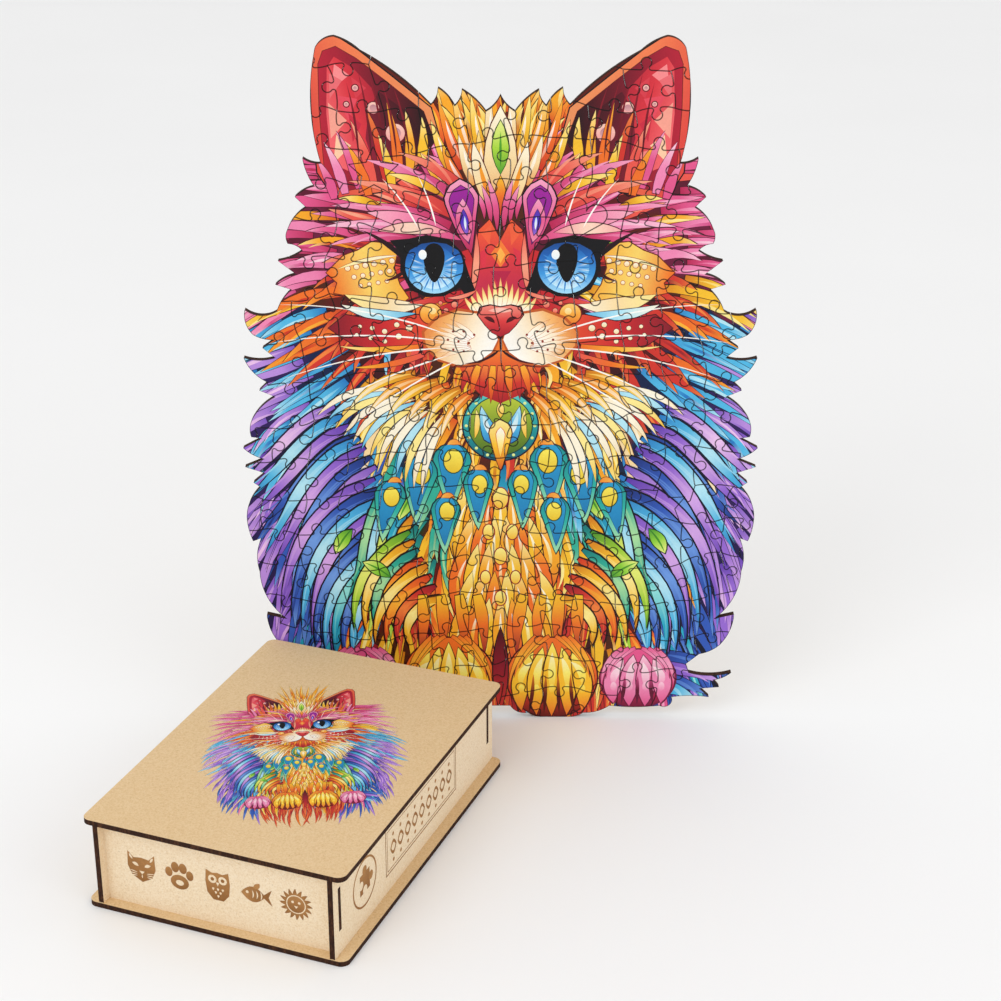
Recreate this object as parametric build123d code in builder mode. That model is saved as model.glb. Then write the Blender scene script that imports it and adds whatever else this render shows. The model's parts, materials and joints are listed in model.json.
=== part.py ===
from build123d import *
import os
import random
from itertools import pairwise
from math import atan2, cos, hypot, pi, sin, sqrt

# A boxed wooden jigsaw puzzle: a small slotted hardboard box with a lift-off lid, and the puzzle
# itself, a cat cut from one board, standing assembled on its paws behind the box. All sizes are in
# millimetres. X runs to the right, Y away from the viewer and Z up. Left is the viewer's left.

# ---- The box -------------------------------------------------------------------------------------
box_width = 152.0
box_depth = 216.0
box_height = 54.0
board = 3.0  # thickness of the box's hardboard
panel_corner = 5.0  # corner radius of the base and the lid
side_inset = 6.5  # from the panels' side edges to the side walls' outer faces
end_inset = 6.5  # from the panels' end edges to the end walls' outer faces
side_end_gap = 0.8  # from the panels' end edges to the side walls' ends
end_tab = 26.0  # height of the end walls' tabs and of their slots in the side walls
end_tab_rise = 13.6  # from the base panel's top to the bottom of those tabs
foot_tab = 21.0  # length of each tab that enters the base panel
end_foot_offset = 26.0  # the end walls' two foot tabs, from the middle
side_foot_count = 4
side_foot_pitch = 50.0
insert_clearance = 0.5  # between the lid's locating board and the walls
insert_corner = 3.0
box_turn = -21.7  # the box's turn about Z, in degrees

# ---- The puzzle ----------------------------------------------------------------------------------
puzzle_width = 300.0
puzzle_height = 420.0
puzzle_board = 4.0
kerf = 0.3  # width of the laser's cut
standing_gap = 0.3  # between the puzzle and the corner of the box that it stands behind
box_reach = 139.9  # from the puzzle's middle to that corner
columns = 14
rows = 19
grid_margin = 10.0  # how far the grid of cuts runs on past the cat's outline
knob_radius = 2.9
neck_radius = 1.3
neck_width = 3.6
dip_range = (-2.0, 0.2)  # where a knob's neck meets its cut's base line
knob_place = (0.44, 0.56)  # where the knob sits along its cut, as a share of it
corner_drift = 2.2  # how far a corner of the cuts may stray from the grid
wave_height = 5.0  # the grid's slow wave
wave_length = 160.0
smallest_piece = 190.0  # a smaller scrap, in square millimetres, stays joined to its neighbour
figure_size = 26.0
cut_seed = 23

# Tips and notches of the cat's fur, from the middle of the crown down the right side, for a cat
# 300 wide and 420 high. Each row is x, z and how far the edge that leads there bulges outwards.
crown_and_ear = [
    (0, 388, 0), (8, 379, -1), (21, 391, 1), (25, 382, -1), (34, 392, 1), (38, 382.5, -1),
    (76, 412, 2), (90, 420, 1), (100, 414, 1.5), (99, 350, 4),
]
cheek_locks = [
    (109, 353, -1), (103, 337, 1), (114, 331, 1), (108, 325, 0), (119, 312, 1.5), (119, 304, 1),
    (111, 300, -1), (125, 294, -1), (115, 286, 0), (127, 280, 1), (118, 277, 0), (127, 264, 1),
    (145, 265, -3), (141, 250, 2), (129, 247, 1), (136, 242, 0), (129, 236, 0), (147, 236, -1.5),
    (134, 221, 2), (139, 216, 0), (130, 212, 0), (144, 198, 1.5), (145, 187, 1), (139, 186, 0),
    (150, 180, 0), (138, 173, 1), (149.5, 168, 0), (138, 164, 0), (145, 158, 0), (141, 155, 0),
]
flank_locks = [
    (150, 135, 2.3), (147, 120, 0.7), (142, 122, 0), (144, 100, 2), (129, 68, 4), (141, 71, 0),
    (133, 50, 2), (121, 44, 1),
]
tail_locks = [
    (113, 37, 0), (115, 31, 0), (141, 31, -2), (130, 26, 1), (134, 21, 0), (122, 20, 0),
    (128, 14, 0), (105, 14, -1),
]
bare_haunch = [(110, 30, 3), (105, 14, 0)]  # the left haunch, where there is no tail
paws = [
    (98, 8, 3.5), (67, 8, 1), (51, 3, 1.5), (42, 0, 0.7), (26, 0, 0), (17, 3, 0.7), (6, 8, 2),
]

# Small figures cut among the ordinary pieces: the figure, x, z and its turn in degrees.
figures = [
    ("heart", 46, 318, -20), ("fish", -58, 247, 20), ("star", 96, 142, 10), ("leaf", -92, 196, 35),
    ("moon", 14, 120, 25), ("leaf", 78, 210, -40), ("star", -70, 345, 0), ("fish", 88, 66, 60),
]

# The puzzle's regions. Each is one node, and holds the pieces that are nearest to its anchor.
middle_regions = {
    "crown_tufts": (0, 378), "forehead": (0, 346), "nose_bridge": (0, 298), "nose": (0, 258),
    "chin": (0, 222), "throat_medallion": (0, 188), "chest": (0, 156), "belly_upper": (0, 122),
    "belly_middle": (0, 90), "belly_lower": (0, 48),
}
side_regions = {
    "ear_tip": (86, 402), "ear_outer": (90, 368), "ear_inner": (55, 380), "brow": (42, 338),
    "temple": (90, 334), "eye": (38, 292), "cheek_upper": (94, 296),
    "muzzle": (32, 246), "cheek_lower": (74, 256), "cheek_locks": (122, 246),
    "collar": (42, 204), "mane_upper": (92, 214), "mane_tips": (132, 196), "shoulder": (52, 160),
    "mane_lower": (104, 168), "flank": (122, 122), "thigh": (62, 116), "haunch": (112, 78),
    "foreleg": (52, 72), "paw": (34, 24), "hind_paw": (88, 30),
}
tail_anchor = (126, 28)

os.makedirs("parts", exist_ok=True)

# ---- Places that follow from the sizes -----------------------------------------------------------
half_width = box_width / 2
half_depth = box_depth / 2
wall_height = box_height - 2 * board
side_face = half_width - side_inset  # a side wall's outer face
end_face = half_depth - end_inset  # an end wall's outer face
side_middle = side_face - board / 2
end_middle = end_face - board / 2
inner_width = 2 * (side_face - board)
inner_depth = 2 * (end_face - board)
side_length = box_depth - 2 * side_end_gap
lid_bottom = board + wall_height
turn = box_turn * pi / 180


def turned(x, y):
    """A point of the box's plan, turned with the box."""
    return x * cos(turn) - y * sin(turn), x * sin(turn) + y * cos(turn)


back_left = turned(-half_width, half_depth)
front_left = turned(-half_width, -half_depth)
front_right = turned(half_width, -half_depth)

# The plan is centred on the whole object, from the box's left corner to the puzzle's right edge and
# from the box's front corner to the puzzle's back face. A panel's rounded corner stops short of the
# sharp one by what corner_cut gives.
corner_cut = panel_corner * (abs(cos(turn)) + abs(sin(turn)) - 1)
plan_left = front_left[0] + corner_cut - back_left[0] - box_reach
plan_front = front_right[1] + 2 * corner_cut - back_left[1] - standing_gap
puzzle_x = -(plan_left + puzzle_width / 2) / 2
puzzle_y = -(plan_front + puzzle_board) / 2
box_x = puzzle_x - box_reach - back_left[0]
box_y = puzzle_y - standing_gap - back_left[1] + corner_cut

box_plane = Plane(origin=(box_x, box_y, 0), x_dir=(cos(turn), sin(turn), 0), z_dir=(0, 0, 1))
puzzle_plane = Plane(origin=(puzzle_x, puzzle_y, 0), x_dir=(1, 0, 0), z_dir=(0, -1, 0))

# ---- The box's panels ----------------------------------------------------------------------------
side_foot_places = [(k - (side_foot_count - 1) / 2) * side_foot_pitch for k in range(side_foot_count)]
end_foot_places = [-end_foot_offset, end_foot_offset]
end_slots = [(x, y) for x in end_foot_places for y in (-end_middle, end_middle)]
side_slots = [(x, y) for y in side_foot_places for x in (-side_middle, side_middle)]

with BuildPart() as base_panel:
    with BuildSketch(box_plane):
        RectangleRounded(box_width, box_depth, panel_corner)
        with Locations(*end_slots):
            Rectangle(foot_tab, board, mode=Mode.SUBTRACT)
        with Locations(*side_slots):
            Rectangle(board, foot_tab, mode=Mode.SUBTRACT)
    extrude(amount=board)
base_panel.part.label = "base_panel"
export_step(base_panel.part, "parts/base_panel.step")

with BuildPart() as lid_panel:
    with BuildSketch(box_plane.offset(lid_bottom)):
        RectangleRounded(box_width, box_depth, panel_corner)
    extrude(amount=board)
lid_panel.part.label = "lid_panel"
export_step(lid_panel.part, "parts/lid_panel.step")

# The locating board is glued under the lid and drops inside the walls.
with BuildPart() as lid_locating_board:
    with BuildSketch(box_plane.offset(lid_bottom)):
        RectangleRounded(inner_width - 2 * insert_clearance, inner_depth - 2 * insert_clearance,
                         insert_corner)
    extrude(amount=-board)
lid_locating_board.part.label = "lid_locating_board"
export_step(lid_locating_board.part, "parts/lid_locating_board.step")

# ---- The box's walls -----------------------------------------------------------------------------
# An end wall stands between the side walls. A tab at each end passes through a side wall's slot, and
# two tabs below enter the base.
for name, place in (("front_wall", -end_middle), ("back_wall", end_middle)):
    with BuildPart() as end_wall:
        with BuildSketch(box_plane.offset(board)):
            with Locations((0, place)):
                Rectangle(inner_width, board)
        extrude(amount=wall_height)
        with BuildSketch(box_plane.offset(board + end_tab_rise)):
            with Locations((0, place)):
                Rectangle(2 * side_face, board)
        extrude(amount=end_tab)
        with BuildSketch(box_plane):
            with Locations(*[(x, place) for x in end_foot_places]):
                Rectangle(foot_tab, board)
        extrude(amount=board)
    end_wall.part.label = name
    export_step(end_wall.part, f"parts/{name}.step")

# A side wall runs the box's whole depth and holds the end walls' tabs in its two slots.
for name, place in (("left_wall", -side_middle), ("right_wall", side_middle)):
    with BuildPart() as side_wall:
        with BuildSketch(box_plane.offset(board)):
            with Locations((place, 0)):
                Rectangle(board, side_length)
        extrude(amount=wall_height)
        with BuildSketch(box_plane.offset(board + end_tab_rise)):
            with Locations((place, -end_middle), (place, end_middle)):
                Rectangle(board, board)
        extrude(amount=end_tab, mode=Mode.SUBTRACT)
        with BuildSketch(box_plane):
            with Locations(*[(place, y) for y in side_foot_places]):
                Rectangle(board, foot_tab)
        extrude(amount=board)
    side_wall.part.label = name
    export_step(side_wall.part, f"parts/{name}.step")

# ---- The cat's outline ---------------------------------------------------------------------------
across = puzzle_width / 300
upright = puzzle_height / 420


def fur_edge(points, side):
    """Adds one side of the outline, from tip to notch to tip."""
    for (x0, z0, _), (x1, z1, bulge) in pairwise(points):
        start = (side * x0 * across, z0 * upright)
        end = (side * x1 * across, z1 * upright)
        if bulge:
            SagittaArc(start, end, side * bulge)
        else:
            Line(start, end)


right_side = crown_and_ear + cheek_locks + flank_locks + tail_locks + paws
left_side = crown_and_ear + cheek_locks + flank_locks + bare_haunch + paws
with BuildSketch() as outline:
    with BuildLine():
        fur_edge(right_side, 1)
        fur_edge(left_side, -1)
        foot = paws[-1]
        Line((foot[0] * across, foot[1] * upright), (-foot[0] * across, foot[1] * upright))
    make_face()
cat = outline.face()

# ---- The cuts ------------------------------------------------------------------------------------
dice = random.Random(cut_seed)
cell_width = (puzzle_width + 2 * grid_margin) / columns
cell_height = (puzzle_height + 2 * grid_margin) / rows


def grid_corner(column, row):
    """Where four pieces meet: a point of the grid, carried by a slow wave and a little chance."""
    x = (column - columns / 2) * cell_width
    z = row * cell_height - grid_margin
    wave_x = wave_height * sin(2 * pi * z / wave_length)
    wave_z = wave_height * sin(2 * pi * (x + z / 2) / wave_length)
    drift_x = dice.uniform(-corner_drift, corner_drift)
    drift_z = dice.uniform(-corner_drift, corner_drift)
    return Vector(x + wave_x + drift_x, z + wave_z + drift_z)


def knobbed_cut(start, end, hand):
    """One cut: it dips from its start, swells round a knob on a narrow neck, and dips to its end.
    The knob is on the left of the way from start to end where hand is 1, and on the right at -1."""
    along = (end - start).normalized()
    over = Vector(-along.Y, along.X) * hand
    middle = (end - start).length * dice.uniform(*knob_place)
    dip = dice.uniform(*dip_range)
    neck_height = dip + neck_radius
    neck_offset = neck_width / 2 + neck_radius
    knob_lift = sqrt((knob_radius + neck_radius) ** 2 - neck_offset**2)
    lean = atan2(knob_lift, neck_offset)
    swing = (lean - pi / 2) / 2

    def at(u, v):
        return start + along * u + over * v

    edges = []
    neck_tops = []
    for side, root in ((-1, start), (1, end)):
        neck = middle + side * neck_offset
        foot = at(neck, dip)
        bend = at(neck - side * neck_radius * cos(swing), neck_height + neck_radius * sin(swing))
        top = at(neck - side * neck_radius * cos(lean), neck_height + neck_radius * sin(lean))
        edges.append(TangentArc(foot, root, tangent=along * side))
        edges.append(ThreePointArc(foot, bend, top))
        neck_tops.append(top)
    crest = at(middle, neck_height + knob_lift + knob_radius)
    edges.append(ThreePointArc(neck_tops[0], crest, neck_tops[1]))
    return edges


corners = [[grid_corner(i, j) for j in range(rows + 1)] for i in range(columns + 1)]
level_cuts = {}
upright_cuts = {}
for i in range(columns + 1):
    for j in range(rows + 1):
        hand = 1 if (i + j) % 2 == 0 else -1
        if i < columns:
            level_cuts[i, j] = knobbed_cut(corners[i][j], corners[i + 1][j], hand)
        if j < rows:
            upright_cuts[i, j] = knobbed_cut(corners[i][j], corners[i][j + 1], hand)


# ---- The small figures ---------------------------------------------------------------------------
def figure_face(figure, x, z, angle):
    """One of the small figures, drawn in units of its size about its own middle."""
    size = figure_size
    with BuildSketch() as shape:
        if figure == "star":
            spokes = [((0.55, 0.27)[k % 2], pi / 2 + k * pi / 5) for k in range(10)]
            Polygon(*[(r * size * cos(a), r * size * sin(a)) for r, a in spokes])
        elif figure == "moon":
            Circle(0.46 * size)
            with Locations((0.3 * size, 0.08 * size)):
                Circle(0.36 * size, mode=Mode.SUBTRACT)
        elif figure == "heart":
            with BuildLine():
                Line((0, -0.45 * size), (0.42 * size, 0.05 * size))
                ThreePointArc((0.42 * size, 0.05 * size), (0.24 * size, 0.42 * size), (0, 0.2 * size))
                mirror(about=Plane.YZ)
            make_face()
        else:
            half_length = (0.5 if figure == "leaf" else 0.38) * size
            with BuildLine():
                ThreePointArc((-half_length, 0), (0, 0.24 * size), (half_length, 0))
                mirror(about=Plane.XZ)
            make_face()
            if figure == "fish":
                tail = [(-0.28, 0), (-0.55, 0.24), (-0.46, 0), (-0.55, -0.24)]
                Polygon(*[(u * size, v * size) for u, v in tail], align=None)
    with BuildSketch() as placed:
        with Locations(Location((x * across, z * upright, 0), (0, 0, angle))):
            add(shape.sketch)
    return placed.face()


figure_faces = [figure_face(*row) for row in figures]

# ---- The pieces ----------------------------------------------------------------------------------
with BuildSketch() as field:
    add(cat)
    add(figure_faces, mode=Mode.SUBTRACT)
shapes = ShapeList()
for i in range(columns):
    for j in range(rows):
        with BuildSketch() as cell:
            with BuildLine():
                add(level_cuts[i, j] + upright_cuts[i + 1, j] + level_cuts[i, j + 1] + upright_cuts[i, j])
            make_face()
        inside = cell.face().intersect(field.face())
        if inside:
            shapes += inside.faces()


def edge_length(shape):
    return sum(edge.length for edge in shape.edges())


def boxes_meet(one, two):
    return (one.min.X <= two.max.X and two.min.X <= one.max.X
            and one.min.Y <= two.max.Y and two.min.Y <= one.max.Y)


def best_neighbour(scrap, others):
    """The neighbour that shares the longest cut with a scrap, and the two as one face."""
    best = None
    longest = 0
    reach = scrap.bounding_box()
    for other in others:
        if not boxes_meet(reach, other.bounding_box()):
            continue
        with BuildSketch() as both:
            add(scrap)
            add(other)
        shared = edge_length(scrap) + edge_length(other) - edge_length(both.sketch)
        if len(both.faces()) == 1 and shared > longest:
            longest = shared
            best = other, both.face()
    return best


# Scraps too small to handle stay on the neighbour that they share the longest cut with.
while min(shape.area for shape in shapes) < smallest_piece:
    shapes = shapes.sort_by(lambda shape: shape.area)
    scrap = shapes[0]
    neighbour, whole = best_neighbour(scrap, shapes[1:])
    shapes = ShapeList([shape for shape in shapes[1:] if shape is not neighbour] + [whole])
shapes += figure_faces

# Each region's node holds the pieces whose middles are nearest to its anchor.
anchors = dict(middle_regions)
for name, (x, z) in side_regions.items():
    anchors["left_" + name] = (-x, z)
    anchors["right_" + name] = (x, z)
anchors["tail"] = tail_anchor
members = {name: [] for name in anchors}
for shape in shapes:
    middle = shape.center(CenterOf.MASS)
    nearest = min(anchors, key=lambda name: hypot(middle.X - anchors[name][0] * across,
                                                  middle.Y - anchors[name][1] * upright))
    members[nearest].append(shape)


def slot_along(edge):
    """The laser's path along one arc or line of a cut: as wide as the kerf, with round ends."""
    sides = []
    for share in (0, 0.5, 1):
        sides.append(Vector(0, 0, 1).cross(edge % share) * (kerf / 2))
    start, end = edge @ 0, edge @ 1
    with BuildSketch() as slot:
        with BuildLine():
            if edge.geom_type == GeomType.LINE:
                Line(start + sides[0], end + sides[2])
                Line(end - sides[2], start - sides[0])
            else:
                ThreePointArc(start + sides[0], edge @ 0.5 + sides[1], end + sides[2])
                ThreePointArc(end - sides[2], edge @ 0.5 - sides[1], start - sides[0])
            ThreePointArc(end + sides[2], end + edge % 1 * (kerf / 2), end - sides[2])
            ThreePointArc(start - sides[0], start - edge % 0 * (kerf / 2), start + sides[0])
        make_face()
    return slot.face()


# A cut's slot serves the pieces on both its sides. The outline's own edges stay where they are.
slots = {}
rim = cat.outer_wire()


def piece_face(shape):
    """What the laser leaves of a shape, less any chip that it cuts loose."""
    tools = []
    for edge in shape.outer_wire().edges():
        middle = edge @ 0.5
        if rim.distance_to(middle) > kerf / 100:
            place = round(middle.X, 2), round(middle.Y, 2)
            if place not in slots:
                slots[place] = slot_along(edge)
            tools.append(slots[place])
    with BuildSketch() as piece:
        add(shape)
        add(tools, mode=Mode.SUBTRACT)
    return piece.faces().sort_by(SortBy.AREA)[-1]


for name, held in members.items():
    with BuildPart() as region:
        with BuildSketch(puzzle_plane):
            add([piece_face(shape) for shape in held])
        extrude(amount=-puzzle_board)
    region.part.label = name
    export_step(region.part, f"parts/{name}.step")
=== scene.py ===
import json
import math
import random
from collections import Counter

import bpy
import numpy as np
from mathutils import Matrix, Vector
from mathutils.geometry import delaunay_2d_cdt
from mathutils.kdtree import KDTree


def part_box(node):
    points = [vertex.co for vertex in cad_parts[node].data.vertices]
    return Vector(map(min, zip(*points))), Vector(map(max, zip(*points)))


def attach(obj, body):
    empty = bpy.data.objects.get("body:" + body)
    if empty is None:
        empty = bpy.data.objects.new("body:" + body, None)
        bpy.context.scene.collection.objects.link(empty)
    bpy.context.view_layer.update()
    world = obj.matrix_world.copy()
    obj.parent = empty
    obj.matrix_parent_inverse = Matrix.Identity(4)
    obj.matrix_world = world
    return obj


# The looks of a boxed wooden jigsaw puzzle: raw hardboard with laser-burnt edges and engraved
# emblems for the box, and a painted cat over the puzzle's pieces and, small, on the lid. The
# artwork is drawn in millimetres on the cat's own plan: x from its middle, z up from its paws.

MM = 0.001
BOX_TURN = math.radians(-21.7)
BOX_HALF_WIDTH = 76.0
BOX_HALF_DEPTH = 108.0
WALL_INSET = 6.5
WALL_MIDDLE = 27.0  # height of the engraving's middle
BOX_TOP = 54.0
PRINT_LIFT = 0.03  # how far ink and engraving lie in front of the board, in millimetres
RIM_WIDTH = 0.22  # the darkened rim round each piece's printed face: laser char, and painted shade of the gap between pieces
GAP_SHADE_LIP_WIDTH = 0.12  # how far that rim's dark stands out over the cut: painted shade over the gap between pieces
CHAR_AND_GAP_SHADE_FACTOR = 0.16  # how much of the print's brightness is left on the rim and the lip, darkened for char and for painted shade of the gap
SPOT_GAP = 0.08  # between the spots that stand for a cut's edge when distances are looked up
KEYS_PER_MM = 500  # the corners of an outline count as one where these agree
LID_PRINT_SCALE = 0.3
LID_PRINT_TURN = math.radians(27.7)
CAT_MIDDLE = 210.0  # half the cat's height, the point that the lid's print turns about

CAMERA_LENS = 77.3
CAMERA_BACK = -1.031
CAMERA_HEIGHT = 0.666
CAMERA_PITCH = math.radians(24.2)  # downwards
LIGHT_TARGET = (0.0, 0.0, 0.15)
LIGHTS = (("key", (-1.3, -1.7, 1.9), 1.4, 14.0), ("fill", (1.6, -1.3, 1.3), 1.6, 6.0))
ROOM_BRIGHTNESS = 0.92
FLOOR_HALF = 40.0
FLOOR_TONES = (0.885, 0.9)

BOX_NODES = ("base_panel", "front_wall", "back_wall", "left_wall", "right_wall", "lid_panel",
             "lid_locating_board")


# ---- Colours -------------------------------------------------------------------------------------
def tone(code):
    """Six hex digits as the linear colour that Blender works in."""
    parts = [int(code[k:k + 2], 16) / 255 for k in (0, 2, 4)]
    return np.array([((c + 0.055) / 1.055) ** 2.4 if c > 0.04045 else c / 12.92 for c in parts])


# Each palette runs from the gap between locks, through a lock's root and body, to its tip.
PALETTES = {name: [tone(code) for code in codes.split()] for name, codes in {
    "sun": "5a1608 d8501a f5a623 fbe38e",
    "flame": "5c0f0c c9301c ee6f22 f9b233",
    "ember": "3a0710 8e1427 cf3328 f0813a",
    "rose": "5a0a28 b5204f e2568c f6a3c4",
    "blush": "6a1238 cf4a83 ef86b2 fbcbdc",
    "coral": "5c0d12 c3252c e9564a f8a384",
    "violet": "1d0f48 5a35a6 9467cf d3a6e6",
    "lilac": "2a1656 7a55bd b78bdc eac2ec",
    "sky": "081c46 1f74bd 4fb6e2 b4e6f4",
    "sea": "06213c 0d6a9c 27a7c4 8fe0dc",
    "navy": "050a26 15286e 2f57b4 6d9be2",
    "teal": "04252c 0c7274 2fae95 a9dfa0",
    "lime": "12300c 3f8a26 9ccb34 e6ee74",
    "gold": "4a1c06 cf7411 f6bf2c fdeb93",
    "cream": "6e2a10 e59a4c f7d9a0 fdf5dc",
    "amber": "4a0f08 e07a12 fbc02a fff06a",
}.items()}
INK = tone("140a12")
WHITE = tone("fdfbf4")
NAMED = {name + str(k): shade for name, row in PALETTES.items() for k, shade in enumerate(row)}
NAMED.update(ink=INK, white=WHITE)


def shades(colours):
    """A gradient's colours as rows. They may be given in words, each a palette's name and stop or
    six hex digits. None stays None."""
    if colours is None:
        return None
    if isinstance(colours, str):
        colours = colours.split()
    rows = [NAMED[c] if isinstance(c, str) and c in NAMED else tone(c) if isinstance(c, str) else c
            for c in colours]
    return np.array(rows, float).reshape(-1, 3)


# Where each palette of the fur sits: x, z, the palette and how far its pull reaches.
FUR_ZONES = [(float(x), float(z), name, float(reach)) for x, z, name, reach in map(str.split, """
    0 382 sun 1.0, 20 374 sun 1.0, 12 352 gold 0.8, 36 366 flame 0.7, 48 342 rose 1.0, 66 330 coral 0.9,
    82 336 rose 1.0, 84 312 sun 0.6, 98 334 rose 0.9, 110 318 blush 1.0, 112 296 rose 1.0,
    122 288 blush 1.0, 96 292 blush 0.8, 104 276 gold 0.6, 124 272 cream 0.7, 76 262 ember 1.0,
    92 262 flame 0.7, 112 256 sky 0.9, 134 262 blush 0.7, 136 250 sky 0.9, 72 240 ember 1.1,
    60 226 ember 1.0, 88 240 flame 0.7, 100 238 sky 0.9, 118 232 lilac 0.9, 138 236 sky 0.9,
    88 222 sky 0.9, 108 212 sky 0.9, 128 212 lilac 0.9, 142 196 lilac 0.9, 44 214 gold 1.0,
    30 208 sun 1.0, 60 206 gold 0.9, 74 196 cream 0.8, 94 196 navy 0.9, 114 190 sky 0.9,
    132 178 violet 1.0, 146 170 sky 0.8, 60 184 teal 0.7, 78 176 sky 0.9, 98 172 navy 1.0,
    118 162 violet 0.9, 140 152 lilac 1.0, 54 164 sea 1.0, 72 154 sea 1.0, 90 148 navy 0.9,
    110 138 violet 0.9, 132 130 lilac 1.0, 144 112 violet 0.9, 44 144 teal 0.9, 58 132 lime 0.9,
    74 126 sky 0.9, 92 118 navy 1.0, 112 108 navy 0.9, 128 92 violet 1.0, 38 118 gold 0.9,
    52 108 teal 0.9, 66 98 lime 0.8, 82 92 sky 0.9, 102 84 navy 1.0, 122 66 violet 0.9, 34 92 flame 0.9,
    50 80 ember 0.9, 64 72 gold 0.9, 82 64 flame 0.8, 96 58 sea 0.8, 112 50 navy 0.9, 28 66 flame 1.0,
    48 58 ember 1.1, 66 50 gold 0.9, 84 50 rose 0.7, 12 130 gold 1.0, 10 100 sun 1.0, 10 70 flame 1.0,
    0 50 ember 1.0, 0 20 ember 1.0, 56 20 ember 1.0, 126 30 navy 1.2, 112 24 violet 0.8,
    100 14 navy 0.8
""".split(","))]
FUR_CENTRE = (0.0, 300.0)  # the locks point away from here
FUR_RINGS = (318.0, 34.0)  # radii of the outermost and innermost rings of locks
RING_STEP = 13.0
LOCK_SPACING = 9.0
BARE_MUZZLE = (258.0, 30.0)  # height and radius of the place without fur
HALF_WIDTH_AT = ([0, 8, 40, 60, 120, 180, 240, 265, 300, 340, 352, 388, 420],
                 [60, 104, 128, 140, 152, 152, 150, 148, 130, 118, 112, 40, 30])


# ---- Shapes --------------------------------------------------------------------------------------
def area(loop):
    following = np.roll(loop, -1, axis=0)
    return np.sum(loop[:, 0] * following[:, 1] - following[:, 0] * loop[:, 1]) / 2


def inset(loop, amount):
    """A loop moved in over what it bounds, which lies on its left."""
    before, after = np.roll(loop, 1, axis=0), np.roll(loop, -1, axis=0)
    first, second = loop - before, after - loop
    first /= np.linalg.norm(first, axis=1)[:, None] + 1e-12
    second /= np.linalg.norm(second, axis=1)[:, None] + 1e-12
    left = np.stack((-first[:, 1] - second[:, 1], first[:, 0] + second[:, 0]), axis=1)
    left /= np.linalg.norm(left, axis=1)[:, None] + 1e-12
    return loop + left * amount


PROFILES = {
    "lock": lambda t: (1 - t) ** 0.72 * (0.5 + 0.5 * np.minimum(1, t / 0.35)),
    "leaf": lambda t: np.sin(math.pi * t) ** 0.85,
    "drop": lambda t: np.sqrt(np.minimum(1, t / 0.22)) * np.minimum(1, (1 - t) / 0.72) ** 0.8,
    "line": lambda t: np.minimum(1, np.minimum(t, 1 - t) * 6) * (1 - 0.6 * t),
    "strand": lambda t: np.minimum(1, t * 5 + 0.35) * np.minimum(1, (1 - t) * 2.2) ** 0.8,
}


def stroke(start, end, width, bend, curl, profile, steps):
    """The outline of one brush stroke along a line. Its first half bows by bend and its second half
    by curl."""
    way = end - start
    left = np.array((-way[1], way[0])) / max(math.hypot(*way), 1e-6)
    knee = start + way / 3 + left * bend * 2 / 3
    ankle = start + way * 2 / 3 + left * curl * 2 / 3
    t = np.linspace(0, 1, steps)[:, None]
    spine = ((1 - t) ** 3 * start + 3 * t * (1 - t) ** 2 * knee + 3 * t**2 * (1 - t) * ankle
             + t**3 * end)
    lean = (1 - t) ** 2 * (knee - start) + 2 * t * (1 - t) * (ankle - knee) + t**2 * (end - ankle)
    lean /= np.linalg.norm(lean, axis=1)[:, None]
    half = PROFILES[profile](t) * width / 2
    side = np.stack((-lean[:, 1], lean[:, 0]), axis=1) * half
    right_edge, left_edge = spine - side, spine + side
    if half[0, 0] < 1e-3:
        left_edge = left_edge[1:]
    if half[-1, 0] < 1e-3:
        left_edge = left_edge[:-1]
    return np.concatenate((right_edge, left_edge[::-1]))


class Drawing:
    """Flat shapes in painting order. Each has a gradient of colours from one point to another, or no
    colours, which cuts through to the bare board. Points are given from the drawing's middle. Inside
    a loop over halves() their x runs outwards, so that each shape comes once on either side."""

    def __init__(self):
        self.shapes = []
        self.middle = (0.0, 0.0)
        self.side = 1

    def halves(self):
        for self.side in (-1, 1):
            yield self.side
        self.side = 1

    def place(self, x, z):
        return np.array((self.middle[0] + self.side * x, self.middle[1] + z), float)

    def lay(self, outline, colours, start=(0, 0), end=(0, 1)):
        """Adds a shape whose points need no more placing."""
        if area(outline) < 0:
            outline = outline[::-1]
        start = np.array(start, float)
        way = np.array(end, float) - start
        self.shapes.append((outline, shades(colours), start, way / max(way @ way, 1e-9)))

    def patch(self, points, colours, start=(0, 0), end=(0, 1), edge=0.0, ink=INK):
        """A patch of colour, with a darker edge round it where asked."""
        loop = np.array([self.place(*point) for point in points])
        if area(loop) < 0:
            loop = loop[::-1]
        if edge:
            self.lay(inset(loop, -edge), [ink])
        self.lay(loop, colours, self.place(*start), self.place(*end))

    def brush(self, x0, z0, x1, z1, width, colours, bend=0.0, profile="lock", edge=0.0, ink=INK,
              steps=7, curl=None):
        """A stroke with its gradient, and a darker edge round it where asked."""
        start, end = self.place(x0, z0), self.place(x1, z1)
        bows = self.side * bend, self.side * (bend if curl is None else curl)
        if edge:
            way = end - start
            reach = way / max(math.hypot(*way), 1e-6) * edge
            self.lay(stroke(start - reach, end + reach * 1.6, width + 2 * edge, *bows, profile, steps),
                     [ink], start, end)
        self.lay(stroke(start, end, width, *bows, profile, steps), colours, start, end)

    def disc(self, x, z, radius, colours, tall=1.0, points=22, edge=0.0, ink=INK):
        """A round or oval spot, shaded downwards."""
        centre = self.place(x, z)
        reach = np.array((0.0, radius * max(tall, 1)))
        angles = np.linspace(0, 2 * math.pi, points, endpoint=False)
        layers = ((edge, [ink]), (0.0, colours)) if edge else ((0.0, colours),)
        for grow, paint in layers:
            ring = ((radius + grow) * np.cos(angles), (radius * tall + grow) * np.sin(angles))
            self.lay(centre + np.stack(ring, axis=1), paint, centre + reach, centre - reach)

    def spots(self, rows, colours, **more):
        """Discs at rows of x, z and radius."""
        for row in rows:
            self.disc(*row, colours, **more)


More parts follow.
